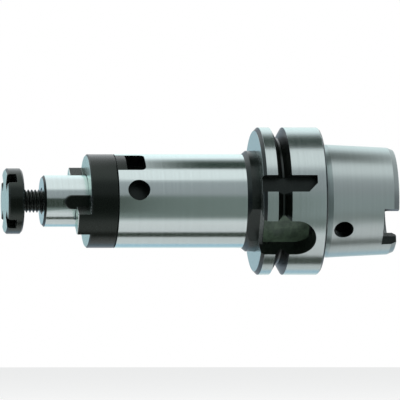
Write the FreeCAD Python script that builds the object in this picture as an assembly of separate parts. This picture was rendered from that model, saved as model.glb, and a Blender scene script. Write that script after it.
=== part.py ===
import FreeCAD, Part

import math
import os

# Combination shell mill arbor with a hollow taper shank, millimetres.
# The arbor lies along X. The origin is the centre of the flange's gauge face,
# +X points into the spindle and -X towards the cutter, so places on the cutter
# side are negative. +Z is up. Angles about the arbor are measured from the near
# side, -Y, and grow upwards, towards +Z.

# Fits
SLIDE_CLEARANCE = 0.03          # radial play of the ring on the pilot
KEY_CLEARANCE = 0.01            # play at each side of the key in its seat
RING_KEY_CLEARANCE = 0.05       # play at each side of the key in the ring
LUG_CLEARANCE = 0.10            # play at each side of a ring lug in its slot
THREAD_CLEARANCE = 0.05         # radial play of a thread, drawn as a cylinder
SEAT_CLEARANCE = 0.02           # gap between two flat faces that meet
CUT_MARGIN = 1.0                # how far a cutting tool runs past its face

# Taper shank
SHANK_LENGTH = 32.0
TAPER_RATIO = 9.98              # length for each millimetre of diameter
TAPER_GAUGE_DIAMETER = 48.01
TAPER_GAUGE_PLACE = 6.3
SHANK_END_BEVEL = 2.3
SHANK_END_BEVEL_DEPTH = 0.8
TAPER_RELIEF_END = 3.4          # the relief groove beside the gauge face
TAPER_RELIEF_DEPTH = 0.9
FACE_RELIEF_DIAMETER = 50.4
FACE_RELIEF_DEPTH = 0.5

# Hollow of the shank
HOLLOW_MOUTH_DIAMETER = 34.0
HOLLOW_MOUTH_BEVEL = 1.5
CLAMP_SHOULDER_PLACE = 18.13
CLAMP_SHOULDER_ANGLE = 30.0
HOLLOW_UNDERCUT_DIAMETER = 40.0
HOLLOW_FLOOR_PLACE = 3.0
TUBE_POCKET_DIAMETER = 22.0
TUBE_POCKET_PLACE = -1.5
TUBE_THREAD_DIAMETER = 18.0
TUBE_SEAT_PLACE = -16.0
COOLANT_DUCT_DIAMETER = 6.0     # from the tube's seat to the screw's hole

# Slots and hole of the shank
DRIVE_ANGLE = -31.0             # the deep pocket and the short drive slot
DRIVE_SLOT_WIDTH = 12.54
DRIVE_SLOT_CORNER = 1.5
DRIVE_SLOT_BEVEL_FOOT = 18.7    # height above the axis where its side bevels start
NEAR_SLOT_DEPTH = 6.5
FAR_SLOT_DEPTH = 10.0
ACCESS_HOLE_DIAMETER = 7.5
ACCESS_HOLE_PLACE = 8.5
ACCESS_HOLE_BEVEL = 0.5

# Flange
FLANGE_DIAMETER = 63.0
FLANGE_RIM_WIDTH = 26.0
FLANGE_REAR_BEVEL = 0.8
FLANGE_FRONT_BEVEL = 1.5
GRIP_GROOVE_PLACE = 18.4
GRIP_GROOVE_FLOOR_DIAMETER = 54.0
GRIP_GROOVE_FLOOR_WIDTH = 0.8
GRIP_GROOVE_FLANK_ANGLE = 30.0
DEEP_POCKET_WIDTH = 16.5
DEEP_POCKET_FLOOR = 20.0        # height of the floor above the axis
DEEP_POCKET_END = 4.6           # distance of its round end from the gauge face
SHALLOW_POCKET_WIDTH = 16.0
SHALLOW_POCKET_FLOOR = 26.5
SHALLOW_POCKET_END = 4.6
NOTCH_ANGLE_FROM_POCKET = 45.0
NOTCH_WIDTH = 7.3
NOTCH_FLOOR = 26.0
NOTCH_END = 4.4
NOTCH_CORNER_CUT = 3.8

# Body between flange and driving ring
COLLAR_DIAMETER = 43.0
COLLAR_LENGTH = 3.7
COLLAR_SLOPE_LENGTH = 1.8
BODY_DIAMETER = 40.0
SHOULDER_PLACE = 88.0           # distance of the ring's seat from the gauge face
BALANCE_HOLE_DIAMETER = 9.0
BALANCE_HOLE_DEPTH = 8.0
BALANCE_HOLE_FROM_SHOULDER = 8.5
BALANCE_HOLE_BEVEL = 0.3
LUG_SLOT_ANGLE_FROM_DRIVE = 90.0
LUG_SLOT_WIDTH = 12.0
LUG_SLOT_LENGTH = 12.2
LUG_SLOT_CORNER = 2.0
LUG_SLOT_FLOOR = 14.0

# Pilot
PILOT_DIAMETER = 22.0
PILOT_LENGTH = 31.0
PILOT_END_BEVEL = 1.0
SCREW_THREAD_DIAMETER = 10.0
SCREW_HOLE_DEPTH = 29.0
SCREW_HOLE_BEVEL = 0.8

# Feather key
KEY_ANGLE = -2.0
KEY_WIDTH = 6.0
KEY_HEIGHT = 6.0
KEY_LENGTH = 22.0
KEY_SEAT_DEPTH = 3.5
KEY_FROM_SHOULDER = 0.5
KEY_BEVEL = 0.3

# Driving ring
RING_WIDTH = 12.0
RING_BEVEL = 0.6
DOG_WIDTH = 10.0
DOG_HEIGHT = 5.6
DOG_INNER_DIAMETER = 25.0
DOG_BEVEL = 0.5
LUG_LENGTH = 4.0
LUG_DIAMETER = 36.0

# Retaining screw
SCREW_HEAD_DIAMETER = 28.0
SCREW_HEAD_WIDTH = 7.0
SCREW_HEAD_BEVEL = 0.8
SCREW_SHANK_LENGTH = 25.0
SCREW_TIP_BEVEL = 1.0
SCREW_STANDS_OUT = 8.8          # gap between the pilot's end and the head
WRENCH_NOTCH_WIDTH = 5.0
WRENCH_NOTCH_DEPTH = 4.0
WRENCH_NOTCH_INNER_DIAMETER = 15.0
WRENCH_NOTCH_COUNT = 4
WRENCH_NOTCH_ANGLE = -45.0

# Coolant tube, its nut and its two seals
TUBE_DIAMETER = 12.0
TUBE_NECK_DIAMETER = 11.6       # the stretch inside the nut
TUBE_BORE_DIAMETER = 8.0
TUBE_TIP_RECESS = 8.0           # how far its tip lies inside the shank's end
TUBE_TIP_BEVEL = 0.5
TUBE_COLLAR_DIAMETER = 15.8
TUBE_COLLAR_WIDTH = 2.0
SEAL_SECTION = 1.8
SEAL_PLAY = 0.2                 # room on each side of a seal
SEAL_RING_DIAMETER = 14.2
NUT_BORE_DIAMETER = 12.4
NUT_LENGTH = 8.6
NUT_BEVEL = 0.4
NUT_SLOT_WIDTH = 3.0
NUT_SLOT_DEPTH = 2.0
NUT_SLOT_COUNT = 4

# Places that follow from the sizes above
FLANGE_RADIUS = FLANGE_DIAMETER / 2
FLANGE_FRONT = -(FLANGE_RIM_WIDTH + FLANGE_FRONT_BEVEL)
COLLAR_END = FLANGE_FRONT - COLLAR_LENGTH
BODY_START = COLLAR_END - COLLAR_SLOPE_LENGTH
SHOULDER = -SHOULDER_PLACE
PILOT_END = SHOULDER - PILOT_LENGTH
RING_BACK = SHOULDER - SEAT_CLEARANCE
RING_FRONT = RING_BACK - RING_WIDTH
HEAD_BACK = PILOT_END - SCREW_STANDS_OUT
HEAD_FRONT = HEAD_BACK - SCREW_HEAD_WIDTH
LUG_ANGLE = DRIVE_ANGLE + LUG_SLOT_ANGLE_FROM_DRIVE
NOTCH_ANGLE = DRIVE_ANGLE + NOTCH_ANGLE_FROM_POCKET
INNER_SEAL_PLACE = TUBE_SEAT_PLACE + SEAL_PLAY + SEAL_SECTION / 2
TUBE_FOOT = INNER_SEAL_PLACE + SEAL_SECTION / 2 + SEAL_PLAY
TUBE_COLLAR_TOP = TUBE_FOOT + TUBE_COLLAR_WIDTH
OUTER_SEAL_PLACE = TUBE_COLLAR_TOP + SEAL_PLAY + SEAL_SECTION / 2
NUT_FOOT = OUTER_SEAL_PLACE + SEAL_SECTION / 2 + SEAL_PLAY
NUT_TOP = NUT_FOOT + NUT_LENGTH
TUBE_TIP = SHANK_LENGTH - TUBE_TIP_RECESS

X_AXIS = FreeCAD.Vector(1, 0, 0)
ORIGIN = FreeCAD.Vector(0, 0, 0)
FAR_OUT = FLANGE_DIAMETER       # a radial reach beyond every surface


def taper_radius(place):
    """Radius of the taper at a place along the axis."""
    return (TAPER_GAUGE_DIAMETER - (place - TAPER_GAUGE_PLACE) / TAPER_RATIO) / 2


def turned(outline):
    """A solid of revolution about X, from its (place, radius) outline."""
    points = [FreeCAD.Vector(place, radius, 0) for place, radius in outline]
    wire = Part.makePolygon(points + [points[0]])
    return Part.Face(wire).revolve(ORIGIN, X_AXIS, 360)


def at_angle(shape, angle):
    """The shape, made on the near side, swung up about the axis by the angle."""
    swung = shape.copy()
    swung.rotate(ORIGIN, X_AXIS, -angle)
    return swung


def radial_prism(outline, inner, outer):
    """An (x, sideways) outline on the near side, filled between two heights."""
    edges_wire = outline.copy()
    edges_wire.translate(FreeCAD.Vector(0, -inner, 0))
    return Part.Face(edges_wire).extrude(FreeCAD.Vector(0, inner - outer, 0))


def polygon_outline(corners):
    """A closed outline of straight edges in the plane of X and Z."""
    points = [FreeCAD.Vector(place, 0, side) for place, side in corners]
    return Part.makePolygon(points + [points[0]])


def slot_outline(closed_end, open_end, width):
    """A slot along X with a half-round end and a square, open one."""
    half = width / 2
    way = math.copysign(1, closed_end - open_end)
    centre = closed_end - way * half
    start = FreeCAD.Vector(centre, 0, half)
    middle = FreeCAD.Vector(closed_end, 0, 0)
    finish = FreeCAD.Vector(centre, 0, -half)
    mouth_low = FreeCAD.Vector(open_end, 0, -half)
    mouth_high = FreeCAD.Vector(open_end, 0, half)
    return Part.Wire([
        Part.Arc(start, middle, finish).toShape(),
        Part.LineSegment(finish, mouth_low).toShape(),
        Part.LineSegment(mouth_low, mouth_high).toShape(),
        Part.LineSegment(mouth_high, start).toShape(),
    ])


def long_hole_outline(first, last, width):
    """An outline along X with both ends half round."""
    half = width / 2
    low = min(first, last)
    high = max(first, last)
    upper_low = FreeCAD.Vector(low + half, 0, half)
    upper_high = FreeCAD.Vector(high - half, 0, half)
    lower_low = FreeCAD.Vector(low + half, 0, -half)
    lower_high = FreeCAD.Vector(high - half, 0, -half)
    return Part.Wire([
        Part.LineSegment(upper_low, upper_high).toShape(),
        Part.Arc(upper_high, FreeCAD.Vector(high, 0, 0), lower_high).toShape(),
        Part.LineSegment(lower_high, lower_low).toShape(),
        Part.Arc(lower_low, FreeCAD.Vector(low, 0, 0), upper_low).toShape(),
    ])


def block(start, end, width, inner, outer):
    """A square block on the near side, between two places and two heights."""
    half = width / 2
    corners = [(start, half), (end, half), (end, -half), (start, -half)]
    return radial_prism(polygon_outline(corners), inner, outer)


def rounded_block(closed_end, open_end, width, corner, inner, outer):
    """A block on the near side whose two corners at its closed end are rounded."""
    tool = block(closed_end, open_end, width, inner, outer)
    upright = [
        edge for edge in tool.Edges
        if all(abs(vertex.X - closed_end) < SEAT_CLEARANCE for vertex in edge.Vertexes)
        and abs(edge.Vertexes[0].Y - edge.Vertexes[-1].Y) > CUT_MARGIN
    ]
    return tool.makeFillet(corner, upright)


def radial_hole(place, radius, inner, surface, bevel):
    """A round hole bored from the near side, with its rim bevelled at the surface."""
    outward = FreeCAD.Vector(0, -1, 0)
    foot = FreeCAD.Vector(place, -inner, 0)
    hole = Part.makeCylinder(radius, FAR_OUT - inner, foot, outward)
    rim_height = bevel + CUT_MARGIN
    rim_foot = FreeCAD.Vector(place, bevel - surface, 0)
    return hole.fuse(Part.makeCone(radius, radius + rim_height, rim_height, rim_foot, outward))


def outer_form():
    """The turned outside, from the shank's end to the pilot's end."""
    end_radius = taper_radius(SHANK_LENGTH)
    bevel_place = SHANK_LENGTH - SHANK_END_BEVEL
    relief_radius = taper_radius(TAPER_RELIEF_END) - TAPER_RELIEF_DEPTH
    relief_run = TAPER_RELIEF_END - TAPER_RELIEF_DEPTH
    groove_floor = GRIP_GROOVE_FLOOR_DIAMETER / 2
    groove_depth = FLANGE_RADIUS - groove_floor
    flank = groove_depth * math.tan(math.radians(GRIP_GROOVE_FLANK_ANGLE))
    floor_half = GRIP_GROOVE_FLOOR_WIDTH / 2
    mouth_half = floor_half + flank
    pilot_radius = PILOT_DIAMETER / 2
    outline = [
        (SHANK_LENGTH, 0),
        (SHANK_LENGTH, end_radius - SHANK_END_BEVEL_DEPTH),
        (bevel_place, taper_radius(bevel_place)),
        (TAPER_RELIEF_END, taper_radius(TAPER_RELIEF_END)),
        (relief_run, relief_radius),
        (-FACE_RELIEF_DEPTH, relief_radius),
        (-FACE_RELIEF_DEPTH, FACE_RELIEF_DIAMETER / 2),
        (0, FACE_RELIEF_DIAMETER / 2),
        (0, FLANGE_RADIUS - FLANGE_REAR_BEVEL),
        (-FLANGE_REAR_BEVEL, FLANGE_RADIUS),
        (-GRIP_GROOVE_PLACE + mouth_half, FLANGE_RADIUS),
        (-GRIP_GROOVE_PLACE + floor_half, groove_floor),
        (-GRIP_GROOVE_PLACE - floor_half, groove_floor),
        (-GRIP_GROOVE_PLACE - mouth_half, FLANGE_RADIUS),
        (-FLANGE_RIM_WIDTH, FLANGE_RADIUS),
        (FLANGE_FRONT, FLANGE_RADIUS - FLANGE_FRONT_BEVEL),
        (FLANGE_FRONT, COLLAR_DIAMETER / 2),
        (COLLAR_END, COLLAR_DIAMETER / 2),
        (BODY_START, BODY_DIAMETER / 2),
        (SHOULDER, BODY_DIAMETER / 2),
        (SHOULDER, pilot_radius),
        (PILOT_END + PILOT_END_BEVEL, pilot_radius),
        (PILOT_END, pilot_radius - PILOT_END_BEVEL),
        (PILOT_END, 0),
    ]
    return turned(outline)


def shank_hollow():
    """The hollow where the spindle's fingers grip, down to the tube's seat."""
    mouth = HOLLOW_MOUTH_DIAMETER / 2
    undercut = HOLLOW_UNDERCUT_DIAMETER / 2
    shoulder_run = (undercut - mouth) / math.tan(math.radians(CLAMP_SHOULDER_ANGLE))
    pocket = TUBE_POCKET_DIAMETER / 2
    thread = TUBE_THREAD_DIAMETER / 2
    outline = [
        (SHANK_LENGTH + CUT_MARGIN, 0),
        (SHANK_LENGTH + CUT_MARGIN, mouth + HOLLOW_MOUTH_BEVEL + CUT_MARGIN),
        (SHANK_LENGTH - HOLLOW_MOUTH_BEVEL, mouth),
        (CLAMP_SHOULDER_PLACE, mouth),
        (CLAMP_SHOULDER_PLACE - shoulder_run, undercut),
        (HOLLOW_FLOOR_PLACE, undercut),
        (HOLLOW_FLOOR_PLACE, pocket),
        (TUBE_POCKET_PLACE, pocket),
        (TUBE_POCKET_PLACE, thread),
        (TUBE_SEAT_PLACE, thread),
        (TUBE_SEAT_PLACE, 0),
    ]
    return turned(outline)


def screw_hole():
    """The threaded hole in the pilot's end, and the coolant duct behind it."""
    radius = SCREW_THREAD_DIAMETER / 2
    duct = COOLANT_DUCT_DIAMETER / 2
    outline = [
        (PILOT_END - CUT_MARGIN, 0),
        (PILOT_END - CUT_MARGIN, radius + SCREW_HOLE_BEVEL + CUT_MARGIN),
        (PILOT_END + SCREW_HOLE_BEVEL, radius),
        (PILOT_END + SCREW_HOLE_DEPTH, radius),
        (PILOT_END + SCREW_HOLE_DEPTH, duct),
        (TUBE_SEAT_PLACE + CUT_MARGIN, duct),
        (TUBE_SEAT_PLACE + CUT_MARGIN, 0),
    ]
    return turned(outline)


def drive_slot(depth, angle):
    """A slot with bevelled sides across the shank's wall, for a spindle key."""
    floor_place = SHANK_LENGTH - depth
    mouth_place = SHANK_LENGTH + CUT_MARGIN
    tool = rounded_block(
        floor_place, mouth_place, DRIVE_SLOT_WIDTH, DRIVE_SLOT_CORNER, 0, FAR_OUT
    )
    half = DRIVE_SLOT_WIDTH / 2
    wide = half + FAR_OUT - DRIVE_SLOT_BEVEL_FOOT
    corners = [
        FreeCAD.Vector(floor_place, -DRIVE_SLOT_BEVEL_FOOT, half),
        FreeCAD.Vector(floor_place, -FAR_OUT, wide),
        FreeCAD.Vector(floor_place, -FAR_OUT, -wide),
        FreeCAD.Vector(floor_place, -DRIVE_SLOT_BEVEL_FOOT, -half),
    ]
    sides = Part.Face(Part.makePolygon(corners + corners[:1]))
    bevels = sides.extrude(FreeCAD.Vector(mouth_place - floor_place, 0, 0))
    return at_angle(tool.fuse(bevels), angle)


def access_hole():
    """The round hole through the taper's wall, for the key of a hand clamp."""
    tool = radial_hole(
        ACCESS_HOLE_PLACE,
        ACCESS_HOLE_DIAMETER / 2,
        HOLLOW_MOUTH_DIAMETER / 2,
        taper_radius(ACCESS_HOLE_PLACE),
        ACCESS_HOLE_BEVEL,
    )
    return at_angle(tool, DRIVE_ANGLE)


def flange_pocket(width, floor, end, front, angle):
    """A pocket with a round end, milled into the rim from the cutter side."""
    outline = slot_outline(-end, front - CUT_MARGIN, width)
    return at_angle(radial_prism(outline, floor, FAR_OUT), angle)


def orientation_notch():
    """The notch that says which way round the tool is, with one cut corner."""
    half = NOTCH_WIDTH / 2
    front = FLANGE_FRONT - CUT_MARGIN
    corners = [
        (front, half),
        (-NOTCH_END, half),
        (-NOTCH_END, half - (NOTCH_WIDTH - NOTCH_CORNER_CUT)),
        (-NOTCH_END - NOTCH_CORNER_CUT, -half),
        (front, -half),
    ]
    tool = radial_prism(polygon_outline(corners), NOTCH_FLOOR, FAR_OUT)
    return at_angle(tool, NOTCH_ANGLE)


def lug_slot(angle):
    """A slot in the body's end that takes one rear lug of the driving ring."""
    tool = rounded_block(
        SHOULDER + LUG_SLOT_LENGTH,
        SHOULDER - CUT_MARGIN,
        LUG_SLOT_WIDTH,
        LUG_SLOT_CORNER,
        LUG_SLOT_FLOOR,
        FAR_OUT,
    )
    return at_angle(tool, angle)


def balance_hole():
    """The blind hole that takes away the pocket's imbalance."""
    surface = BODY_DIAMETER / 2
    tool = radial_hole(
        SHOULDER + BALANCE_HOLE_FROM_SHOULDER,
        BALANCE_HOLE_DIAMETER / 2,
        surface - BALANCE_HOLE_DEPTH,
        surface,
        BALANCE_HOLE_BEVEL,
    )
    return at_angle(tool, NOTCH_ANGLE)


def key_seat():
    """The seat of the feather key in the pilot."""
    last = SHOULDER - KEY_FROM_SHOULDER
    first = last - KEY_LENGTH
    outline = long_hole_outline(
        first - KEY_CLEARANCE, last + KEY_CLEARANCE, KEY_WIDTH + 2 * KEY_CLEARANCE
    )
    floor = PILOT_DIAMETER / 2 - KEY_SEAT_DEPTH
    return at_angle(radial_prism(outline, floor, BODY_DIAMETER / 2), KEY_ANGLE)


def arbor_body():
    """Shank, flange, body and pilot, which are one piece of steel."""
    body = outer_form()
    cuts = [
        shank_hollow(),
        screw_hole(),
        drive_slot(NEAR_SLOT_DEPTH, DRIVE_ANGLE),
        drive_slot(FAR_SLOT_DEPTH, DRIVE_ANGLE + 180),
        access_hole(),
        flange_pocket(DEEP_POCKET_WIDTH, DEEP_POCKET_FLOOR, DEEP_POCKET_END,
                      BODY_START, DRIVE_ANGLE),
        flange_pocket(SHALLOW_POCKET_WIDTH, SHALLOW_POCKET_FLOOR, SHALLOW_POCKET_END,
                      FLANGE_FRONT, DRIVE_ANGLE + 180),
        orientation_notch(),
        lug_slot(LUG_ANGLE),
        lug_slot(LUG_ANGLE + 180),
        balance_hole(),
        key_seat(),
    ]
    for cut in cuts:
        body = body.cut(cut)
    return body


def ring_blank():
    """The turned ring before its dogs, lugs and keyway."""
    bore = PILOT_DIAMETER / 2 + SLIDE_CLEARANCE
    outer = BODY_DIAMETER / 2
    outline = [
        (RING_BACK, bore),
        (RING_BACK, outer - RING_BEVEL),
        (RING_BACK - RING_BEVEL, outer),
        (RING_FRONT + RING_BEVEL, outer),
        (RING_FRONT, outer - RING_BEVEL),
        (RING_FRONT, bore + RING_BEVEL),
        (RING_FRONT + RING_BEVEL, bore),
    ]
    return turned(outline)


def front_dog(angle):
    """A dog on the ring's front face, which enters the cutter's cross slot."""
    inner = DOG_INNER_DIAMETER / 2
    outer = BODY_DIAMETER / 2
    tip = RING_FRONT - DOG_HEIGHT
    root = RING_FRONT + RING_BEVEL
    bar = block(root, tip, DOG_WIDTH, 0, FAR_OUT)
    band = turned([
        (root, inner),
        (root, outer),
        (tip + DOG_BEVEL, outer),
        (tip, outer - DOG_BEVEL),
        (tip, inner + DOG_BEVEL),
        (tip + DOG_BEVEL, inner),
    ])
    return at_angle(bar.common(band), angle)


def rear_lug(angle):
    """A lug on the ring's back face, which sits in the body's slot."""
    width = LUG_SLOT_WIDTH - 2 * LUG_CLEARANCE
    tip = RING_BACK + LUG_LENGTH
    root = RING_BACK - RING_BEVEL
    bar = block(root, tip, width, LUG_SLOT_FLOOR + LUG_CLEARANCE, FAR_OUT)
    reach = Part.makeCylinder(
        LUG_DIAMETER / 2, tip - root, FreeCAD.Vector(root, 0, 0), X_AXIS
    )
    return at_angle(bar.common(reach), angle)


def ring_keyway():
    """The keyway through the ring's bore that passes the feather key."""
    width = KEY_WIDTH + 2 * RING_KEY_CLEARANCE
    key_top = PILOT_DIAMETER / 2 - KEY_SEAT_DEPTH + KEY_HEIGHT
    start = RING_BACK + LUG_LENGTH + CUT_MARGIN
    end = RING_FRONT - DOG_HEIGHT - CUT_MARGIN
    return at_angle(block(start, end, width, 0, key_top + RING_KEY_CLEARANCE), KEY_ANGLE)


def driving_ring():
    """The loose ring that drives cutters with a cross slot."""
    ring = ring_blank()
    additions = [
        front_dog(DRIVE_ANGLE),
        front_dog(DRIVE_ANGLE + 180),
        rear_lug(LUG_ANGLE),
        rear_lug(LUG_ANGLE + 180),
    ]
    for addition in additions:
        ring = ring.fuse(addition)
    return ring.removeSplitter().cut(ring_keyway())


def feather_key():
    """The key that drives cutters with a keyway."""
    last = SHOULDER - KEY_FROM_SHOULDER
    first = last - KEY_LENGTH
    floor = PILOT_DIAMETER / 2 - KEY_SEAT_DEPTH + KEY_CLEARANCE
    top = floor + KEY_HEIGHT - KEY_CLEARANCE
    key = radial_prism(long_hole_outline(first, last, KEY_WIDTH), floor, top)
    top_edges = [
        edge for edge in key.Edges
        if all(abs(vertex.Y + top) < KEY_CLEARANCE for vertex in edge.Vertexes)
    ]
    return at_angle(key.makeChamfer(KEY_BEVEL, top_edges), KEY_ANGLE)


def wrench_notch(angle):
    """A notch in the screw's head for one prong of its wrench."""
    tool = block(
        HEAD_FRONT - CUT_MARGIN,
        HEAD_FRONT + WRENCH_NOTCH_DEPTH,
        WRENCH_NOTCH_WIDTH,
        WRENCH_NOTCH_INNER_DIAMETER / 2,
        SCREW_HEAD_DIAMETER,
    )
    return at_angle(tool, angle)


def retaining_screw():
    """The wide-headed screw that holds the cutter on the pilot."""
    head = SCREW_HEAD_DIAMETER / 2
    shank = SCREW_THREAD_DIAMETER / 2 - THREAD_CLEARANCE
    tip = HEAD_BACK + SCREW_SHANK_LENGTH
    screw = turned([
        (HEAD_FRONT, 0),
        (HEAD_FRONT, head - SCREW_HEAD_BEVEL),
        (HEAD_FRONT + SCREW_HEAD_BEVEL, head),
        (HEAD_BACK - SCREW_HEAD_BEVEL, head),
        (HEAD_BACK, head - SCREW_HEAD_BEVEL),
        (HEAD_BACK, shank),
        (tip - SCREW_TIP_BEVEL, shank),
        (tip, shank - SCREW_TIP_BEVEL),
        (tip, 0),
    ])
    for index in range(WRENCH_NOTCH_COUNT):
        angle = WRENCH_NOTCH_ANGLE + index * 360 / WRENCH_NOTCH_COUNT
        screw = screw.cut(wrench_notch(angle))
    return screw


def coolant_tube():
    """The tube that carries coolant across from the spindle."""
    bore = TUBE_BORE_DIAMETER / 2
    guide = TUBE_DIAMETER / 2
    neck = TUBE_NECK_DIAMETER / 2
    return turned([
        (TUBE_FOOT, bore),
        (TUBE_FOOT, neck),
        (TUBE_FOOT, TUBE_COLLAR_DIAMETER / 2),
        (TUBE_COLLAR_TOP, TUBE_COLLAR_DIAMETER / 2),
        (TUBE_COLLAR_TOP, neck),
        (NUT_TOP + CUT_MARGIN, neck),
        (NUT_TOP + CUT_MARGIN, guide),
        (TUBE_TIP - TUBE_TIP_BEVEL, guide),
        (TUBE_TIP, guide - TUBE_TIP_BEVEL),
        (TUBE_TIP, bore),
    ])


def coolant_tube_nut():
    """The threaded sleeve that holds the tube's collar in its seat."""
    outer = TUBE_THREAD_DIAMETER / 2 - THREAD_CLEARANCE
    bore = NUT_BORE_DIAMETER / 2
    nut = turned([
        (NUT_FOOT, bore),
        (NUT_FOOT, outer - NUT_BEVEL),
        (NUT_FOOT + NUT_BEVEL, outer),
        (NUT_TOP - NUT_BEVEL, outer),
        (NUT_TOP, outer - NUT_BEVEL),
        (NUT_TOP, bore),
    ])
    for index in range(NUT_SLOT_COUNT):
        tool = block(
            NUT_TOP - NUT_SLOT_DEPTH,
            NUT_TOP + CUT_MARGIN,
            NUT_SLOT_WIDTH,
            0,
            TUBE_THREAD_DIAMETER,
        )
        nut = nut.cut(at_angle(tool, index * 360 / NUT_SLOT_COUNT))
    return nut


def tube_seal(place):
    """A rubber ring round the tube at one side of its collar."""
    return Part.makeTorus(
        SEAL_RING_DIAMETER / 2,
        SEAL_SECTION / 2,
        FreeCAD.Vector(place, 0, 0),
        X_AXIS,
    )


def nodes():
    """Every separate piece, under the name of its node."""
    return {
        "arbor_body": arbor_body(),
        "driving_ring": driving_ring(),
        "feather_key": feather_key(),
        "retaining_screw": retaining_screw(),
        "coolant_tube": coolant_tube(),
        "coolant_tube_nut": coolant_tube_nut(),
        "tube_seal_inner": tube_seal(INNER_SEAL_PLACE),
        "tube_seal_outer": tube_seal(OUTER_SEAL_PLACE),
    }


os.makedirs("parts", exist_ok=True)
for name, shape in nodes().items():
    solid = shape.Solids[0] if len(shape.Solids) == 1 else shape
    solid.exportStep(f"parts/{name}.step")
    print(name, len(shape.Solids), round(solid.Volume, 1), solid.isValid())
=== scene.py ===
# %% [markdown]
# # A combination shell mill arbor
# The arbor joins a milling cutter to a machine spindle. Its hollow taper goes
# into the spindle, its flange is what the tool changer grips, and the cutter
# sits on the pilot at the other end, driven by a key or by the loose ring.
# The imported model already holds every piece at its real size, so this lesson
# is mostly about steel: the same metal looks bright where it was ground and
# nearly black where the furnace left its scale.

import math

import bmesh
import bpy
from mathutils import Matrix, Vector


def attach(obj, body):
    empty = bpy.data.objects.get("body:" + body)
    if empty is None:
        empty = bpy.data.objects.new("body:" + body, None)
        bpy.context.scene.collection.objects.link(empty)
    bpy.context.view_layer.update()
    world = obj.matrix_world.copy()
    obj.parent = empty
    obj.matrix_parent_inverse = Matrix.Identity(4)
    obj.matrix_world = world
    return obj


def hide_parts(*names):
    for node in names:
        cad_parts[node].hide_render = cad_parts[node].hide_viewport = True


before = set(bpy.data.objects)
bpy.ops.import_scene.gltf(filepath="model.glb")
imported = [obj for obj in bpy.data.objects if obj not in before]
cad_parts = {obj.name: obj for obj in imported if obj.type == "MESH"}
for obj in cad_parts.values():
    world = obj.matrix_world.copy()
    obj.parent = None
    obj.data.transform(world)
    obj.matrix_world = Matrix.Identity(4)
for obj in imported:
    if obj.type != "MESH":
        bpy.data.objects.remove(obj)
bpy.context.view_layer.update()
MM = 0.001

# %% [markdown]
# ## Camera
# A long lens from far away keeps the two sides of every turned diameter
# parallel, as in a catalogue picture. The camera stands a little to the
# cutter's side, so that the flat faces turned that way just show. It aims at
# a point between the flange and the shoulder.

# %% Camera
CAMERA_AZIMUTH = math.radians(-8.2)
CAMERA_DISTANCE = 6.0
IMAGE_SIDE = 400                # pixels
PIXELS_PER_MM = 2.343
AIM_PLACE = -50.7 * MM
AIM_HEIGHT = 0.47 * MM
SENSOR = 36.0
CLIP_DISTANCE = 24.0            # far beyond the floor's edge


def make_camera():
    """A long lens that looks at the arbor from the cutter's side."""
    back = Vector((math.sin(CAMERA_AZIMUTH), -math.cos(CAMERA_AZIMUTH), 0))
    target = Vector((AIM_PLACE, 0, AIM_HEIGHT))
    view_width = IMAGE_SIDE / PIXELS_PER_MM * MM
    data = bpy.data.cameras.new("camera")
    data.sensor_width = SENSOR
    data.lens = SENSOR * CAMERA_DISTANCE / view_width
    data.clip_end = CLIP_DISTANCE
    camera = bpy.data.objects.new("camera", data)
    camera.location = target + back * CAMERA_DISTANCE
    camera.rotation_mode = "QUATERNION"
    camera.rotation_quaternion = (-back).to_track_quat("-Z", "Y")
    bpy.context.scene.collection.objects.link(camera)
    bpy.context.scene.camera = camera
    return camera


camera = make_camera()
print("lens", round(camera.data.lens), "mm at", CAMERA_DISTANCE, "m")

# %% [markdown]
# ## Small helpers for shader nodes
# A shader is a chain of small sums. These helpers add one node each and take
# either a number or another node's socket, so that a chain reads like a sum.


# %% Node helpers
MIX_COLOUR_INPUTS = (6, 7)      # the Mix node's sockets for two colours
MIX_COLOUR_OUTPUT = 2
MIX_VALUE_INPUTS = (2, 3)       # and for two numbers


def feed(tree, socket, value):
    """Joins a socket to the node input, or sets the input to a plain value."""
    if isinstance(value, bpy.types.NodeSocket):
        tree.links.new(value, socket)
    else:
        socket.default_value = value


def sum_node(tree, operation, first, second=None, third=None, clamp=False):
    """One Math node, such as ADD or GREATER_THAN."""
    node = tree.nodes.new("ShaderNodeMath")
    node.operation = operation
    node.use_clamp = clamp
    for socket, value in zip(node.inputs, (first, second, third)):
        if value is not None:
            feed(tree, socket, value)
    return node.outputs[0]


def mix_colour(tree, amount, first, second, blend="MIX"):
    """A colour between two colours, or one laid over the other."""
    node = tree.nodes.new("ShaderNodeMix")
    node.data_type = "RGBA"
    node.blend_type = blend
    feed(tree, node.inputs["Factor"], amount)
    for index, value in zip(MIX_COLOUR_INPUTS, (first, second)):
        feed(tree, node.inputs[index], value)
    return node.outputs[MIX_COLOUR_OUTPUT]


def mix_value(tree, amount, first, second):
    """A number between two numbers."""
    node = tree.nodes.new("ShaderNodeMix")
    feed(tree, node.inputs["Factor"], amount)
    for index, value in zip(MIX_VALUE_INPUTS, (first, second)):
        feed(tree, node.inputs[index], value)
    return node.outputs[0]


def smooth_range(tree, value, low, high):
    """0 below the low value, 1 above the high one, and smooth between."""
    node = tree.nodes.new("ShaderNodeMapRange")
    node.interpolation_type = "SMOOTHSTEP"
    feed(tree, node.inputs["Value"], value)
    feed(tree, node.inputs["From Min"], low)
    feed(tree, node.inputs["From Max"], high)
    return node.outputs["Result"]


def object_place(tree):
    """Where a point is in the object's own space, and its X, Y and Z."""
    position = tree.nodes.new("ShaderNodeTexCoord").outputs["Object"]
    parts = tree.nodes.new("ShaderNodeSeparateXYZ")
    tree.links.new(position, parts.inputs[0])
    return position, parts.outputs


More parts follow.
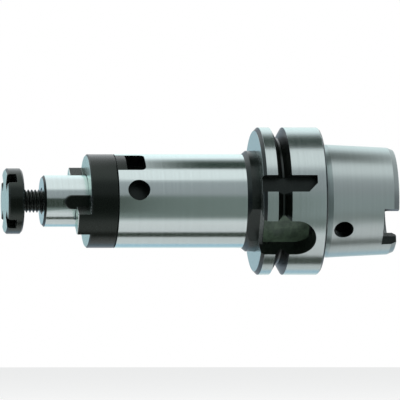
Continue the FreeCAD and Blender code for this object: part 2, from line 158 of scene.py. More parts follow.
def bump_normal(tree, height, strength, distance, under=None):
    """The normal of a surface with this height, laid over another normal if there is one."""
    node = tree.nodes.new("ShaderNodeBump")
    node.inputs["Strength"].default_value = strength
    node.inputs["Distance"].default_value = distance
    tree.links.new(height, node.inputs["Height"])
    if under is not None:
        tree.links.new(under, node.inputs["Normal"])
    return node.outputs["Normal"]


def show_mixed(tree, amount, first, second):
    """Makes a mix of two shaders the surface of the material."""
    choice = tree.nodes.new("ShaderNodeMixShader")
    feed(tree, choice.inputs[0], amount)
    tree.links.new(first.outputs[0], choice.inputs[1])
    tree.links.new(second.outputs[0], choice.inputs[2])
    output = tree.nodes.new("ShaderNodeOutputMaterial")
    tree.links.new(choice.outputs[0], output.inputs["Surface"])


def new_group(name, inputs, outputs):
    """An empty shader group with named inputs and outputs."""
    group = bpy.data.node_groups.new(name, "ShaderNodeTree")
    for socket, kind in inputs.items():
        group.interface.new_socket(socket, in_out="INPUT", socket_type="NodeSocket" + kind)
    for socket, kind in outputs.items():
        group.interface.new_socket(socket, in_out="OUTPUT", socket_type="NodeSocket" + kind)
    start = group.nodes.new("NodeGroupInput").outputs
    end = group.nodes.new("NodeGroupOutput").inputs
    return group, start, end


def place_group(tree, group, **values):
    """The group placed in a material, with this material's own values."""
    node = tree.nodes.new("ShaderNodeGroup")
    node.node_tree = group
    for name, value in values.items():
        feed(tree, node.inputs[name], value)
    return node.outputs


def empty_material(name):
    """A material without nodes, and its tree."""
    material = bpy.data.materials.new(name)
    material.use_nodes = True
    material.node_tree.nodes.clear()
    return material, material.node_tree


def new_material(name, metallic, roughness, colour):
    """A Principled material, with its tree and its shader node."""
    material = bpy.data.materials.new(name)
    material.use_nodes = True
    tree = material.node_tree
    shader = tree.nodes["Principled BSDF"]
    shader.inputs["Metallic"].default_value = metallic
    shader.inputs["Roughness"].default_value = roughness
    shader.inputs["Base Color"].default_value = colour
    return material, tree, shader


# %% [markdown]
# ## Studio
# Polished metal shows the room more than itself, so the room is what gives
# the arbor its bands. A world colour by direction stands for it: white
# behind, a bright cloth overhead, a dim room where the photographer stands,
# and dark to both sides with a paler ceiling. Only reflections see all that.
# The camera sees plain white, and dull surfaces are lit by an even pale sky.

# %% World
ROOM_BANDS = [                  # degrees above the viewer's horizon, then colour
    (-180, (1.00, 1.00, 1.00)),
    (-165, (1.00, 1.00, 1.00)),
    (-150, (0.52, 0.69, 0.84)),
    (-133, (0.52, 0.73, 0.87)),
    (-123, (0.76, 0.93, 0.96)),
    (-74, (0.95, 0.98, 0.98)),
    (-53, (0.95, 0.98, 0.98)),
    (-40, (0.20, 0.245, 0.225)),
    (8, (0.20, 0.245, 0.225)),
    (18, (0.38, 0.41, 0.42)),
    (48, (0.42, 0.46, 0.47)),
    (58, (1.06, 1.11, 1.11)),
    (92, (1.06, 1.11, 1.11)),
    (112, (1.10, 1.14, 1.15)),
    (130, (1.28, 1.34, 1.38)),
    (158, (1.28, 1.34, 1.38)),
    (178, (1.00, 1.00, 1.00)),
]
SKY_LEVEL = 0.62
SIDE_DARK_FROM = 0.45           # how far a direction leans along the arbor
SIDE_DARK_FULL = 0.85
SIDE_COLOUR = (0.05, 0.09, 0.13, 1)
SIDE_PALE_COLOUR = (0.70, 0.80, 0.84, 1)
SIDE_PALE_FROM = 0.12           # how far up a direction to the side turns pale
SIDE_PALE_FULL = 0.42
BACK_LEFT_COLOUR = (0.50, 0.61, 0.70, 1)
BACK_LEFT_FROM = -0.06          # lean at which the wall behind the cutter begins
BACK_LEFT_FULL = 0.10
BACK_FROM = 0.75                # how far a direction points away from the camera
BACK_FULL = 0.95
HALF_TURN = 180.0
WHITE = (1, 1, 1, 1)


def room_colour(tree):
    """The room's colour in the direction of the ray."""
    direction = tree.nodes.new("ShaderNodeTexCoord").outputs["Generated"]
    parts = tree.nodes.new("ShaderNodeSeparateXYZ")
    tree.links.new(direction, parts.inputs[0])
    along, away, up = parts.outputs
    towards = sum_node(tree, "MULTIPLY", away, -1.0)
    angle = sum_node(tree, "ARCTAN2", up, towards)
    share = sum_node(tree, "MULTIPLY_ADD", angle, 1 / math.tau, 1 / 2)
    ramp = tree.nodes.new("ShaderNodeValToRGB")
    stops = ramp.color_ramp.elements
    while len(stops) < len(ROOM_BANDS):
        stops.new(1.0)
    for stop, (degrees, colour) in zip(stops, ROOM_BANDS):
        stop.position = (degrees + HALF_TURN) / (2 * HALF_TURN)
        stop.color = (*colour, 1)
    tree.links.new(share, ramp.inputs["Fac"])
    left = sum_node(tree, "MULTIPLY", along, -1.0)
    beyond = smooth_range(tree, left, BACK_LEFT_FROM, BACK_LEFT_FULL)
    behind = smooth_range(tree, away, BACK_FROM, BACK_FULL)
    wall = sum_node(tree, "MULTIPLY", beyond, behind)
    bands = mix_colour(tree, wall, ramp.outputs["Color"], BACK_LEFT_COLOUR)
    lean = sum_node(tree, "ABSOLUTE", along)
    side = smooth_range(tree, lean, SIDE_DARK_FROM, SIDE_DARK_FULL)
    side_colour = mix_colour(tree, smooth_range(tree, up, SIDE_PALE_FROM, SIDE_PALE_FULL),
                             SIDE_COLOUR, SIDE_PALE_COLOUR)
    return mix_colour(tree, side, bands, side_colour)


def make_world():
    """White for the camera, bands for reflections, an even sky for the rest."""
    world = bpy.data.worlds.new("studio")
    bpy.context.scene.world = world
    world.use_nodes = True
    world.cycles.sampling_method = "NONE"
    tree = world.node_tree
    path = tree.nodes.new("ShaderNodeLightPath").outputs
    sky = (SKY_LEVEL, SKY_LEVEL, SKY_LEVEL, 1)
    seen = mix_colour(tree, path["Is Glossy Ray"], sky, room_colour(tree))
    shown = sum_node(tree, "ADD", path["Is Camera Ray"], path["Is Transmission Ray"], clamp=True)
    colour = mix_colour(tree, shown, seen, WHITE)
    tree.links.new(colour, tree.nodes["Background"].inputs["Color"])
    return world


make_world()
bpy.context.scene.view_settings.view_transform = "Standard"
print("room bands", len(ROOM_BANDS))

# %% [markdown]
# ## Floor and softbox
# The floor is a white sheet below the arbor. Its reflection is cut to a strip,
# as if a dark cloth lay in front of and behind a small table. The softbox
# overhead gives the light its direction and the shadow its place.

# %% Floor and lamps
FLOOR_DROP = 90 * MM            # how far the floor lies below the axis
FLOOR_RADIUS = 1.6
FLOOR_SEGMENTS = 96
TABLE_FRONT = -76 * MM
TABLE_BACK = 56 * MM
FLOOR_COLOUR = (0.90, 0.91, 0.91, 1)
SEEN_GLOW = 0.26                # lifts the sheet to white for the camera
MIRRORED_GLOW = 0.22            # and a little less in reflections


def link(thing):
    """Puts an object in the scene."""
    bpy.context.scene.collection.objects.link(thing)
    return thing


def floor_material():
    """White, with its shadow kept, and only a strip of it in reflections."""
    material, tree = empty_material("white_floor")
    position, parts = object_place(tree)
    middle = (TABLE_FRONT + TABLE_BACK) / 2
    reach = (TABLE_BACK - TABLE_FRONT) / 2
    off_middle = sum_node(tree, "ABSOLUTE", sum_node(tree, "SUBTRACT", parts["Y"], middle))
    outside = sum_node(tree, "GREATER_THAN", off_middle, reach)
    path = tree.nodes.new("ShaderNodeLightPath").outputs
    hidden = sum_node(tree, "MULTIPLY", outside, path["Is Glossy Ray"])
    seen = sum_node(tree, "ADD", path["Is Camera Ray"], path["Is Transmission Ray"], clamp=True)
    seen = sum_node(tree, "MULTIPLY", seen, SEEN_GLOW)
    level = sum_node(tree, "MULTIPLY_ADD", path["Is Glossy Ray"], MIRRORED_GLOW, seen)
    dull = tree.nodes.new("ShaderNodeBsdfDiffuse")
    dull.inputs["Color"].default_value = FLOOR_COLOUR
    glow = tree.nodes.new("ShaderNodeEmission")
    tree.links.new(level, glow.inputs["Strength"])
    both = tree.nodes.new("ShaderNodeAddShader")
    tree.links.new(dull.outputs[0], both.inputs[0])
    tree.links.new(glow.outputs[0], both.inputs[1])
    show_mixed(tree, hidden, both, tree.nodes.new("ShaderNodeBsdfTransparent"))
    return material


def make_floor():
    """A round white floor below the arbor."""
    mesh = bpy.data.meshes.new("floor")
    shape = bmesh.new()
    bmesh.ops.create_circle(shape, cap_ends=True, segments=FLOOR_SEGMENTS, radius=FLOOR_RADIUS)
    bmesh.ops.translate(shape, verts=shape.verts, vec=(0, 0, -FLOOR_DROP))
    shape.to_mesh(mesh)
    shape.free()
    floor = link(bpy.data.objects.new("floor", mesh))
    floor.data.materials.append(floor_material())
    return floor


def make_softbox(name, elevation, distance, width, depth, level):
    """A lamp panel of an even brightness, which the camera doesn't see."""
    data = bpy.data.lights.new(name, "AREA")
    data.shape = "RECTANGLE"
    data.size = width
    data.size_y = depth
    data.energy = level * math.pi * width * depth
    lamp = link(bpy.data.objects.new(name, data))
    angle = math.radians(elevation)
    direction = Vector((0, -math.cos(angle), math.sin(angle)))
    lamp.location = Vector((AIM_PLACE, 0, 0)) + direction * distance
    lamp.rotation_mode = "QUATERNION"
    lamp.rotation_quaternion = direction.to_track_quat("Z", "X")
    lamp.visible_camera = False
    lamp.visible_glossy = False
    return lamp


make_floor()
make_softbox("softbox", elevation=72, distance=0.9, width=1.2, depth=0.55, level=0.9)

# %% [markdown]
# ## Cards and end panels
# A polished cylinder shows a dark line wherever something dark hangs near it.
# The photographer's cloth above and the camera's own lens in front give dark
# lines that run along the arbor. The dark card below is a painted shadow: it
# stands where the metal would mirror the arbor's own shadow on the table. A
# second dark card beside the lens shows in the sloping relief, and a dim window
# shows in the taper. A pale panel beyond each end keeps the end faces from
# going black. Only reflections see any of them, and a card may thin out
# towards an end.

# %% Cards
CARDS = {                       # one edge, other edge, first and last place, colour, fades
    "cloth_above": ((-21, 110), (86, 110), -96, 80, (0.025, 0.048, 0.035, 1),
                    (("X", -94, -36), ("X", 78, 30), ("Y", 86, 16))),
    # painted shadow: a dark card where the metal would mirror the arbor's own shadow on the table
    "painted_shadow_below": ((-18.5, -43), (-8, -43), -150, 90, (0.035, 0.050, 0.035, 1), ()),
    "lens_in_front": ((-300, -185), (-300, 64), -130, -20, (0.030, 0.045, 0.032, 1),
                      (("X", -30, -58), ("Z", -185, -150))),
    "dark_beside_lens": ((-300, -120), (-300, 190), -240, -140, (0.030, 0.045, 0.032, 1), ()),
    "window_in_front": ((-300, -170), (-300, 90), 20, 130, (0.42, 0.49, 0.49, 1),
                        (("X", 22, 58), ("Z", -170, -120), ("Z", 90, 50))),
}


def card_material(name, colour, fades):
    """An even glow that thins out to nothing where the card fades."""
    material, tree = empty_material(name)
    position, parts = object_place(tree)
    cover = 1.0
    for axis, gone, full in fades:
        share = smooth_range(tree, parts[axis], gone * MM, full * MM)
        cover = sum_node(tree, "MULTIPLY", share, cover)
    glow = tree.nodes.new("ShaderNodeEmission")
    glow.inputs["Color"].default_value = colour
    show_mixed(tree, cover, tree.nodes.new("ShaderNodeBsdfTransparent"), glow)
    return material


def stage_panel(shape, name, material):
    """A panel of the studio that only reflections see."""
    mesh = bpy.data.meshes.new(name)
    shape.to_mesh(mesh)
    shape.free()
    panel = link(bpy.data.objects.new(name, mesh))
    panel.data.materials.append(material)
    panel.visible_camera = False
    panel.visible_diffuse = False
    panel.visible_shadow = False
    return panel


def make_card(name, one_edge, other_edge, first, last, colour, fades):
    """A flat card drawn out along the arbor, which only reflections see."""
    shape = bmesh.new()
    ends = [shape.verts.new((first * MM, y * MM, z * MM)) for y, z in (one_edge, other_edge)]
    side = bmesh.ops.extrude_edge_only(shape, edges=[shape.edges.new(ends)])
    drawn = [part for part in side["geom"] if isinstance(part, bmesh.types.BMVert)]
    bmesh.ops.translate(shape, verts=drawn, vec=((last - first) * MM, 0, 0))
    return stage_panel(shape, name, card_material(name, colour, fades))


# %% End panels
END_PANEL_COLOUR = (0.62, 0.67, 0.69, 1)
END_PANEL_SIDE = 104 * MM
END_PANELS = {"panel_at_cutter_end": -450, "panel_at_taper_end": 350}    # places in mm
QUARTER_TURN = math.pi / 2


def make_end_panel(name, place):
    """A small pale panel facing one end, so that the end faces aren't black."""
    shape = bmesh.new()
    bmesh.ops.create_grid(shape, x_segments=1, y_segments=1, size=END_PANEL_SIDE / 2)
    bmesh.ops.rotate(shape, verts=shape.verts, cent=(0, 0, 0),
                     matrix=Matrix.Rotation(QUARTER_TURN, 3, "Y"))
    bmesh.ops.translate(shape, verts=shape.verts, vec=(place * MM, 0, 0))
    return stage_panel(shape, name, card_material(name, END_PANEL_COLOUR, ()))


for card_name, card_facts in CARDS.items():
    make_card(card_name, *card_facts)
for panel_name, panel_place in END_PANELS.items():
    make_end_panel(panel_name, panel_place)
print("cards", len(CARDS), "end panels", len(END_PANELS))

# %% [markdown]
# ## Where the steel was ground
# After hardening, the whole arbor is dark with scale. The grinding wheel then
# cleans only what has to be round and true: the taper, the flange's rim, the
# body and the pilot. A grooved or milled surface lies lower than the wheel
# can reach and stays dark. So brightness follows from place: a point is
# bright if it lies on the ground diameter for its place along the arbor.


# %% Group: ground zone
def zone_group():
    """1 from the surface of a cone up to a reach above it, between two places."""
    group, start, end = new_group(
        "ground_zone",
        {"Place": "Float", "Radius": "Float", "From": "Float", "To": "Float",
         "Start Radius": "Float", "Slope": "Float", "Reach": "Float"},
        {"Mask": "Float"},
    )
    after = sum_node(group, "GREATER_THAN", start["Place"], start["From"])
    before = sum_node(group, "LESS_THAN", start["Place"], start["To"])
    run = sum_node(group, "SUBTRACT", start["Place"], start["From"])
    surface = sum_node(group, "MULTIPLY_ADD", run, start["Slope"], start["Start Radius"])
    outside = sum_node(group, "GREATER_THAN", start["Radius"], surface)
    limit = sum_node(group, "ADD", surface, start["Reach"])
    inside = sum_node(group, "LESS_THAN", start["Radius"], limit)
    between = sum_node(group, "MULTIPLY", after, before)
    shell = sum_node(group, "MULTIPLY", outside, inside)
    group.links.new(sum_node(group, "MULTIPLY", between, shell), end["Mask"])
    return group


# %% Group: lines round the axis
RADIUS_SHARE = 1.7              # lines on an end face lie closer than along the side
LINE_DETAIL, LINE_ROUGHNESS = 4.0, 0.7
TONE_SCALE, TONE_DETAIL = 0.09, 2.0


def lines_group():
    """Fine lines round the arbor, left by a turning tool or a grinding wheel."""
    group, start, end = new_group(
        "lines_round_the_axis",
        {"Place": "Float", "Radius": "Float", "Lines": "Float"},
        {"Height": "Float", "Tone": "Float"},
    )
    across = sum_node(group, "MULTIPLY_ADD", start["Radius"], RADIUS_SHARE, start["Place"])
    spaced = sum_node(group, "MULTIPLY", across, start["Lines"])
    fine = group.nodes.new("ShaderNodeTexNoise")
    fine.noise_dimensions = "1D"
    fine.inputs["Scale"].default_value = 1.0
    fine.inputs["Detail"].default_value = LINE_DETAIL
    fine.inputs["Roughness"].default_value = LINE_ROUGHNESS
    group.links.new(spaced, fine.inputs["W"])
    group.links.new(fine.outputs["Fac"], end["Height"])
    slow = group.nodes.new("ShaderNodeTexNoise")
    slow.noise_dimensions = "1D"
    slow.inputs["Scale"].default_value = TONE_SCALE
    slow.inputs["Detail"].default_value = TONE_DETAIL
    group.links.new(spaced, slow.inputs["W"])
    group.links.new(slow.outputs["Fac"], end["Tone"])
    return group


# %% Group: mottle
MOTTLE = {                      # output, noise detail and scale against the size
    "Cloud": (5.0, 1.0),
    "Grain": (2.0, 9.0),
}
MOTTLE_ROUGHNESS = 0.6


def mottle_group():
    """Uneven cloudy patches, as scale, oxide and oil leave them."""
    group, start, end = new_group(
        "mottle",
        {"Vector": "Vector", "Size": "Float"},
        {"Cloud": "Float", "Grain": "Float"},
    )
    for name, (detail, factor) in MOTTLE.items():
        noise = group.nodes.new("ShaderNodeTexNoise")
        noise.inputs["Detail"].default_value = detail
        noise.inputs["Roughness"].default_value = MOTTLE_ROUGHNESS
        group.links.new(start["Vector"], noise.inputs["Vector"])
        scale = sum_node(group, "MULTIPLY", start["Size"], factor)
        group.links.new(scale, noise.inputs["Scale"])
        group.links.new(noise.outputs["Fac"], end[name])
    return group


# %% Group: edge band
EDGE_SAMPLES = 6
EDGE_FULL = 0.28                # how far the rounded normal turns on a full edge


def edge_group():
    """1 at an edge and 0 on the flat, found by rounding the edge a little."""
    group, start, end = new_group(
        "edge_band",
        {"Reach": "Float", "Start": "Float"},
        {"Edge": "Float", "Normal": "Vector"},
    )
    rounded = group.nodes.new("ShaderNodeBevel")
    rounded.samples = EDGE_SAMPLES
    group.links.new(start["Reach"], rounded.inputs["Radius"])
    flat = group.nodes.new("ShaderNodeNewGeometry").outputs["Normal"]
    compare = group.nodes.new("ShaderNodeVectorMath")
    compare.operation = "DOT_PRODUCT"
    group.links.new(rounded.outputs[0], compare.inputs[0])
    group.links.new(flat, compare.inputs[1])
    away = sum_node(group, "SUBTRACT", 1.0, compare.outputs["Value"], clamp=True)
    band = smooth_range(group, away, start["Start"], EDGE_FULL)
    group.links.new(band, end["Edge"])
    group.links.new(rounded.outputs[0], end["Normal"])
    return group


ground_zone = zone_group()
lines_round = lines_group()
mottle = mottle_group()
edge_band = edge_group()
print("shader groups", len(bpy.data.node_groups))

# %% [markdown]
# ## Ground and scaled steel
# One material serves the whole arbor. The zone mask picks bright ground steel
# or dark scale. Ground steel is a mirror with faint lines round the axis and
# a little haze. The wheel left the flange and the taper duller than the body.
# Scale is an oxide, so it is no mirror: nearly black, a little green. The
# relief between flange and taper has a plain floor and a steep end in the
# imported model, and a bump shades both as one slope.

# %% Arbor material
SURFACE_TOLERANCE = 0.06 * MM
TAPER_SLOPE = -1 / (2 * 9.98)
GROUND_ZONES = [                # from, to, radius at the start, slope, reach, how clean
    (29.75, 32.05, 22.81, -0.4, 1.0, 0.6),
    (31.95, 32.05, 15.0, 0.0, 8.0, 1.0),
    (3.35, 29.75, 24.15, TAPER_SLOPE, 1.0, 1.0),
    (0.75, 3.35, 20.0, 0.0, 6.0, 1.0),
    (-15.45, -0.75, 31.5, 0.0, 1.0, 1.0),
    (-26.05, -21.35, 31.5, 0.0, 1.0, 1.0),
    (-0.05, 0.05, 25.3, 0.0, 7.0, 1.0),
    (-27.55, -27.45, 21.7, 0.0, 9.0, 1.0),
    (-27.5, -25.8, 20.0, 0.0, 3.5, 0.22),
    (-88.05, -33.0, 20.0, 0.0, 1.0, 1.0),
    (-118.05, -87.9, 11.0, 0.0, 1.0, 1.0),
    (-119.05, -118.95, 5.0, 0.0, 6.0, 1.0),
]
RELIEF_END = 3.4 * MM
RELIEF_RISE = 1.22              # in mm over the whole relief
RELIEF_FALL = 2.18
RELIEF_LEFT = 0.32              # what is left of the height at the relief's end
# The pocket floor has dark green blotches of its own. Its colour is also lifted above the scale's as
# painted light, to make up for the shade of the pocket's walls.
POCKET_FLOOR = (-25.6, -6.0, 19.9, 0.0, 1.9, 1.0)
POCKET_PALE = (0.095, 0.145, 0.098, 1)
POCKET_DARK = (0.040, 0.064, 0.043, 1)
STEEL = (0.60, 0.665, 0.665, 1)
SCALE_DARK = (0.0010, 0.0016, 0.0010, 1)
SCALE_LIGHT = (0.0050, 0.0064, 0.0048, 1)
SCALE_TINT = (0.88, 1.0, 0.97, 1)
SCALE_PATCHES = (0.35, 0.70)    # noise values from dark scale to light
SCALE_ROUGHNESS = (0.22, 0.36)
LINE_TONES = (0.93, 1.05)
LINE_STREAK = 0.03              # how much the lines change the roughness
FLANGE_STARTS = -27.6 * MM
TAPER_STARTS = 0.4 * MM
BODY_TONE, FLANGE_TONE, TAPER_TONE = 1.0, 0.86, 0.78
BODY_ROUGHNESS, FLANGE_ROUGHNESS, TAPER_ROUGHNESS = 0.17, 0.22, 0.31
BODY_METAL, FLANGE_METAL, TAPER_METAL = 0.97, 0.93, 0.85


def place_and_radius(tree):
    """The place along the axis and the distance from it, in metres."""
    position, parts = object_place(tree)
    flat = tree.nodes.new("ShaderNodeCombineXYZ")
    tree.links.new(parts["Y"], flat.inputs["Y"])
    tree.links.new(parts["Z"], flat.inputs["Z"])
    length = tree.nodes.new("ShaderNodeVectorMath")
    length.operation = "LENGTH"
    tree.links.new(flat.outputs[0], length.inputs[0])
    return position, parts["X"], length.outputs["Value"]


def zone_mask(tree, place, radius, zones):
    """How clean the steel is: the largest share of the zones a point is in."""
    total = 0.0
    for first, last, start_radius, slope, reach, clean in zones:
        zone = place_group(tree, ground_zone, **{
            "Place": place, "Radius": radius, "From": first * MM, "To": last * MM,
            "Start Radius": start_radius * MM - SURFACE_TOLERANCE, "Slope": slope,
            "Reach": reach * MM,
        })
        share = sum_node(tree, "MULTIPLY", zone["Mask"], clean)
        total = sum_node(tree, "MAXIMUM", share, total)
    return total


def by_stretch(tree, place, body, flange, taper):
    """One value on the body, another on the flange and a third on the taper."""
    on_flange = sum_node(tree, "GREATER_THAN", place, FLANGE_STARTS)
    on_taper = sum_node(tree, "GREATER_THAN", place, TAPER_STARTS)
    return mix_value(tree, on_taper, mix_value(tree, on_flange, body, flange), taper)


def relief_normal(tree, place):
    """Shades the relief's plain floor and steep end as the one long slope of a wheel."""
    run = sum_node(tree, "DIVIDE", place, RELIEF_END, clamp=True)
    rise = sum_node(tree, "MULTIPLY", run, RELIEF_RISE)
    fall = sum_node(tree, "MULTIPLY_ADD", run, -RELIEF_FALL, RELIEF_FALL + RELIEF_LEFT)
    height = sum_node(tree, "MINIMUM", rise, fall)
    return bump_normal(tree, height, strength=1.0, distance=MM)


def arbor_material():
    """Ground steel where the wheel reached, dark scale elsewhere."""
    material, tree, shader = new_material("ground_and_scaled_steel", metallic=0.9,
                                          roughness=0.2, colour=STEEL)
    shader.inputs["IOR"].default_value = 1.5
    shader.inputs["Specular Tint"].default_value = SCALE_TINT
    position, place, radius = place_and_radius(tree)
    ground = zone_mask(tree, place, radius, GROUND_ZONES)
    floor = zone_mask(tree, place, radius, [POCKET_FLOOR])
    lines = place_group(tree, lines_round, Place=place, Radius=radius, Lines=9000.0)
    patches = place_group(tree, mottle, Vector=position, Size=260.0)
    scale_amount = smooth_range(tree, patches["Cloud"], *SCALE_PATCHES)
    scale = mix_colour(tree, scale_amount, SCALE_DARK, SCALE_LIGHT)
    # pocket floor: its own blotches, lifted by painted light against the walls' shade
    floor_blotches_and_painted_light = mix_colour(tree, scale_amount, POCKET_DARK, POCKET_PALE)
    scale = mix_colour(tree, floor, scale, floor_blotches_and_painted_light)
    tone = by_stretch(tree, place, BODY_TONE, FLANGE_TONE, TAPER_TONE)
    tone = sum_node(tree, "MULTIPLY", tone, mix_value(tree, lines["Tone"], *LINE_TONES))
    steel = mix_colour(tree, 1.0, STEEL, tone, blend="MULTIPLY")
    tree.links.new(mix_colour(tree, ground, scale, steel), shader.inputs["Base Color"])
    metal = by_stretch(tree, place, BODY_METAL, FLANGE_METAL, TAPER_METAL)
    tree.links.new(sum_node(tree, "MULTIPLY", ground, metal), shader.inputs["Metallic"])
    rough_scale = mix_value(tree, patches["Grain"], *SCALE_ROUGHNESS)
    rough_steel = by_stretch(tree, place, BODY_ROUGHNESS, FLANGE_ROUGHNESS, TAPER_ROUGHNESS)
    streaks = mix_value(tree, lines["Tone"], -LINE_STREAK, LINE_STREAK)
    rough_steel = sum_node(tree, "ADD", rough_steel, streaks)
    tree.links.new(mix_value(tree, ground, rough_scale, rough_steel), shader.inputs["Roughness"])
    height = mix_value(tree, ground, patches["Grain"], lines["Height"])
    normal = bump_normal(tree, height, strength=0.25, distance=0.004 * MM,
                         under=relief_normal(tree, place))
    tree.links.new(normal, shader.inputs["Normal"])
    return material


# %% [markdown]
# ## Black oxide
# The ring, the screw and the key are blackened in a salt bath and oiled. The
# skin is a thousandth of a millimetre thick, so it wears through to steel at
# the edges that hands and cutters touch.

# %% Black oxide material
OXIDE = (0.0010, 0.0014, 0.0010, 1)
OXIDE_PALE = (0.0035, 0.0046, 0.0036, 1)
OXIDE_TINT = (0.86, 1.0, 0.92, 1)
WORN_STEEL = (0.34, 0.37, 0.36, 1)
OXIDE_ROUGHNESS = (0.20, 0.34)
WEAR_PATCHES = (0.42, 0.60)     # noise values from whole skin to worn skin
RING_FACES = [                  # faces ground after blackening, as GROUND_ZONES
    (-100.05, -99.95, 11.0, 0.0, 8.6, 1.0),
    (-105.65, -105.30, 11.0, 0.0, 10.0, 1.0),
]
SCREW_FACES = [
    (-134.85, -134.70, 0.0, 0.0, 15.0, 1.0),
]


def oxide_material(name, wear, size, gloss, ground_faces=()):
    """Oiled black oxide, worn through along the edges by the given share."""
    material, tree, shader = new_material(name, metallic=0.0, roughness=0.27, colour=OXIDE)
    shader.inputs["IOR"].default_value = gloss
    shader.inputs["Specular Tint"].default_value = OXIDE_TINT
    position, place, radius = place_and_radius(tree)
    patches = place_group(tree, mottle, Vector=position, Size=size)
    lines = place_group(tree, lines_round, Place=place, Radius=radius, Lines=5200.0)
    edges = place_group(tree, edge_band, Reach=0.35 * MM, Start=0.02)
    skin = mix_colour(tree, patches["Cloud"], OXIDE, OXIDE_PALE)
    patchy = smooth_range(tree, patches["Grain"], *WEAR_PATCHES)
    bare = sum_node(tree, "MULTIPLY", edges["Edge"], patchy)
    bare = sum_node(tree, "MULTIPLY", bare, wear)
    faces = zone_mask(tree, place, radius, ground_faces)
    bare = sum_node(tree, "MAXIMUM", bare, faces)
    steel = mix_colour(tree, faces, WORN_STEEL, STEEL)
    tree.links.new(mix_colour(tree, bare, skin, steel), shader.inputs["Base Color"])
    tree.links.new(bare, shader.inputs["Metallic"])
    roughness = mix_value(tree, patches["Grain"], *OXIDE_ROUGHNESS)
    tree.links.new(roughness, shader.inputs["Roughness"])
    normal = bump_normal(tree, lines["Height"], strength=0.3, distance=0.006 * MM,
                         under=edges["Normal"])
    tree.links.new(normal, shader.inputs["Normal"])
    return material


# %% [markdown]
# ## Coolant tube and seals
# The tube in the hollow is turned from bright steel and the seals are rubber.


# %% Tube and rubber materials
TUBE_TONES = (0.80, 1.05)
TUBE_ROUGHNESS = (0.18, 0.34)
RUBBER = (0.02, 0.02, 0.02, 1)
RUBBER_BLACK = (0.012, 0.012, 0.013, 1)
RUBBER_BLOOM = (0.03, 0.03, 0.03, 1)
RUBBER_ROUGHNESS = (0.50, 0.75)


def tube_material():
    """Bright turned steel with lines round the axis."""
    material, tree, shader = new_material("turned_steel", metallic=1.0, roughness=0.25, colour=STEEL)
    position, place, radius = place_and_radius(tree)
    lines = place_group(tree, lines_round, Place=place, Radius=radius, Lines=3000.0)
    tone = mix_value(tree, lines["Tone"], *TUBE_TONES)
    tree.links.new(mix_colour(tree, 1.0, STEEL, tone, blend="MULTIPLY"), shader.inputs["Base Color"])
    roughness = mix_value(tree, lines["Height"], *TUBE_ROUGHNESS)
    tree.links.new(roughness, shader.inputs["Roughness"])
    normal = bump_normal(tree, lines["Height"], strength=0.3, distance=0.01 * MM)
    tree.links.new(normal, shader.inputs["Normal"])
    return material


def rubber_material():
    """Matt black rubber with a little bloom."""
    material, tree, shader = new_material("seal_rubber", metallic=0.0, roughness=0.6, colour=RUBBER)
    position, parts = object_place(tree)
    patches = place_group(tree, mottle, Vector=position, Size=500.0)
    skin = mix_colour(tree, patches["Cloud"], RUBBER_BLACK, RUBBER_BLOOM)
    tree.links.new(skin, shader.inputs["Base Color"])
    roughness = mix_value(tree, patches["Grain"], *RUBBER_ROUGHNESS)
    tree.links.new(roughness, shader.inputs["Roughness"])
    return material


# %% Materials go on the CAD pieces
FINISHES = {
    "arbor_body": arbor_material(),
    "driving_ring": oxide_material("blackened_ring", wear=0.35, size=300.0, gloss=1.45,
                                   ground_faces=RING_FACES),
    "feather_key": oxide_material("blackened_key", wear=0.3, size=420.0, gloss=1.5),
    "retaining_screw": oxide_material("blackened_screw", wear=0.4, size=360.0, gloss=1.55,
                                      ground_faces=SCREW_FACES),
    "coolant_tube": tube_material(),
    "tube_seal_inner": rubber_material(),
}
FINISHES["coolant_tube_nut"] = FINISHES["coolant_tube"]
FINISHES["tube_seal_outer"] = FINISHES["tube_seal_inner"]

for node_name, finish in FINISHES.items():
    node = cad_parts[node_name]
    for material_slot in node.material_slots:
        material_slot.material = finish
print("finished", len(FINISHES), "nodes")

# %% [markdown]
# ## Retaining screw with its thread
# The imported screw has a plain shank. The real one has a short thin neck below
# its head and then an M10 thread. The thread is one small outline, a ridge and
# half a groove on each side, spun round the axis while it moves along: each
# turn ends where the next one starts. Planes then cut both ends square.

# %% Screw
HEAD_BACK = -127.8 * MM
NECK_END = -126.9 * MM
SCREW_TIP = -102.8 * MM
NECK_RADIUS = 4.1 * MM
CREST_RADIUS = 4.93 * MM
ROOT_RADIUS = 4.12 * MM
THREAD_PITCH = 1.5 * MM
THREAD_STEPS = 36               # in one turn
SPARE_TURNS = 2                 # made beyond each end and cut off
NECK_SEGMENTS = 72
TIP_BEVEL = 1.0 * MM
# the thread's outline: shares of the pitch, then 0 at the root and 1 at the crest
RIDGE = ((0.0, 0), (0.125, 0), (0.4375, 1), (0.5625, 1), (0.875, 0), (1.0, 0))
WELD = 0.002 * MM               # points closer than this are one
TINY = WELD / 10
ALONG = Vector((1, 0, 0))
SHARP_ANGLE = math.radians(32)


def merged_copy(node_name):
    """The CAD node's mesh as a bmesh, with the points of its triangles joined."""
    shape = bmesh.new()
    shape.from_mesh(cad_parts[node_name].data)
    bmesh.ops.remove_doubles(shape, verts=shape.verts, dist=WELD)
    bmesh.ops.dissolve_degenerate(shape, edges=shape.edges, dist=TINY)
    return shape


def cut_square(shape, place, keep_below):
    """Cuts the shape off at a place along the axis and closes the cut."""
    result = bmesh.ops.bisect_plane(
        shape, geom=shape.verts[:] + shape.edges[:] + shape.faces[:], dist=TINY,
        plane_co=ALONG * place, plane_no=ALONG,
        clear_outer=keep_below, clear_inner=not keep_below)
    rim = [part for part in result["geom_cut"] if isinstance(part, bmesh.types.BMEdge)]
    bmesh.ops.contextual_create(shape, geom=rim)


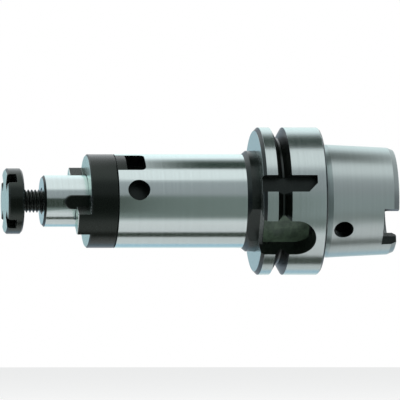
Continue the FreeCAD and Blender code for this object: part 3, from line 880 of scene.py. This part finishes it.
def piece_from(shape, name, body, node_name, material):
    """A finished object from a bmesh, smooth but for its sharp edges."""
    bmesh.ops.recalc_face_normals(shape, faces=shape.faces)
    for face in shape.faces:
        face.smooth = True
    mesh = bpy.data.meshes.new(name)
    shape.to_mesh(mesh)
    shape.free()
    if "custom_normal" in mesh.attributes:
        mesh.attributes.remove(mesh.attributes["custom_normal"])
    mesh.set_sharp_from_angle(angle=SHARP_ANGLE)
    mesh.materials.clear()
    mesh.materials.append(material)
    piece = link(bpy.data.objects.new(name, mesh))
    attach(piece, body)
    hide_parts(node_name)
    print(name, len(mesh.polygons), "faces")
    return piece


def add_thread(shape):
    """One ridge carried round and along the axis, then cut off at both ends."""
    first = NECK_END - SPARE_TURNS * THREAD_PITCH
    turns = math.ceil((SCREW_TIP - first) / THREAD_PITCH) + SPARE_TURNS
    depth = CREST_RADIUS - ROOT_RADIUS
    points = [shape.verts.new((first + share * THREAD_PITCH, 0, ROOT_RADIUS + height * depth))
              for share, height in RIDGE]
    edges = [shape.edges.new(pair) for pair in zip(points, points[1:])]
    bmesh.ops.spin(shape, geom=points + edges, cent=(0, 0, 0), axis=ALONG,
                   dvec=ALONG * (THREAD_PITCH / THREAD_STEPS), angle=turns * math.tau,
                   steps=turns * THREAD_STEPS)
    bmesh.ops.remove_doubles(shape, verts=shape.verts, dist=WELD)
    cut_square(shape, NECK_END, keep_below=False)
    cut_square(shape, SCREW_TIP, keep_below=True)
    for point in shape.verts:
        limit = CREST_RADIUS - max(0.0, point.co.x - (SCREW_TIP - TIP_BEVEL))
        off_axis = math.hypot(point.co.y, point.co.z)
        if off_axis > limit:
            point.co.y *= limit / off_axis
            point.co.z *= limit / off_axis


def add_neck(shape):
    """The plain neck between the head and the thread."""
    length = NECK_END - HEAD_BACK + 2 * WELD
    neck = bmesh.ops.create_cone(shape, cap_ends=True, segments=NECK_SEGMENTS, radius1=NECK_RADIUS,
                                 radius2=NECK_RADIUS, depth=length)
    bmesh.ops.rotate(shape, verts=neck["verts"], cent=(0, 0, 0),
                     matrix=Matrix.Rotation(QUARTER_TURN, 3, "Y"))
    bmesh.ops.translate(shape, verts=neck["verts"], vec=ALONG * (NECK_END + HEAD_BACK) / 2)


def make_screw():
    """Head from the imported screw, with a neck and a thread."""
    screw = bmesh.new()
    add_thread(screw)
    head = merged_copy("retaining_screw")
    cut_square(head, HEAD_BACK, keep_below=True)
    head_mesh = bpy.data.meshes.new("screw_head")
    head.to_mesh(head_mesh)
    head.free()
    screw.from_mesh(head_mesh)
    bpy.data.meshes.remove(head_mesh)
    add_neck(screw)
    return piece_from(screw, "threaded_screw", "screw", "retaining_screw",
                      FINISHES["retaining_screw"])


make_screw()

# %% [markdown]
# ## Driving ring with a lug flush to its outside
# In the photograph the lug behind the ring is as high as the ring. The packed
# ring has it and its twin 2 mm lower, so a merged copy gets their outer points
# raised. They move straight out, not away from the axis, so the lugs stay as
# wide as they are and keep their play in the body's slots.

# %% Ring
RING_BACK = -88.0 * MM
LUG_RADIUS = 18.0 * MM
LUG_RAISED = 19.9 * MM
LUG_ANGLE = math.radians(59)    # turned up from the camera's side
LUG_TOLERANCE = 0.25 * MM
LUG_ROOT = 1.5 * MM             # the lug starts this far inside the ring's rounded edge


def make_ring():
    """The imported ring, its rear lugs raised to the ring's own outside."""
    ring = merged_copy("driving_ring")
    outward = Vector((0, -math.cos(LUG_ANGLE), math.sin(LUG_ANGLE)))
    raised = 0
    for point in ring.verts:
        off_axis = math.hypot(point.co.y, point.co.z)
        on_lug = abs(off_axis - LUG_RADIUS) < LUG_TOLERANCE
        if point.co.x > RING_BACK - LUG_ROOT and on_lug:
            height = point.co.dot(outward)
            sideways_squared = off_axis ** 2 - height ** 2
            rise = math.sqrt(LUG_RAISED ** 2 - sideways_squared) - abs(height)
            point.co += outward * math.copysign(rise, height)
            raised += 1
    print("lug points raised", raised)
    return piece_from(ring, "flush_lug_ring", "ring", "driving_ring",
                      FINISHES["driving_ring"])


make_ring()
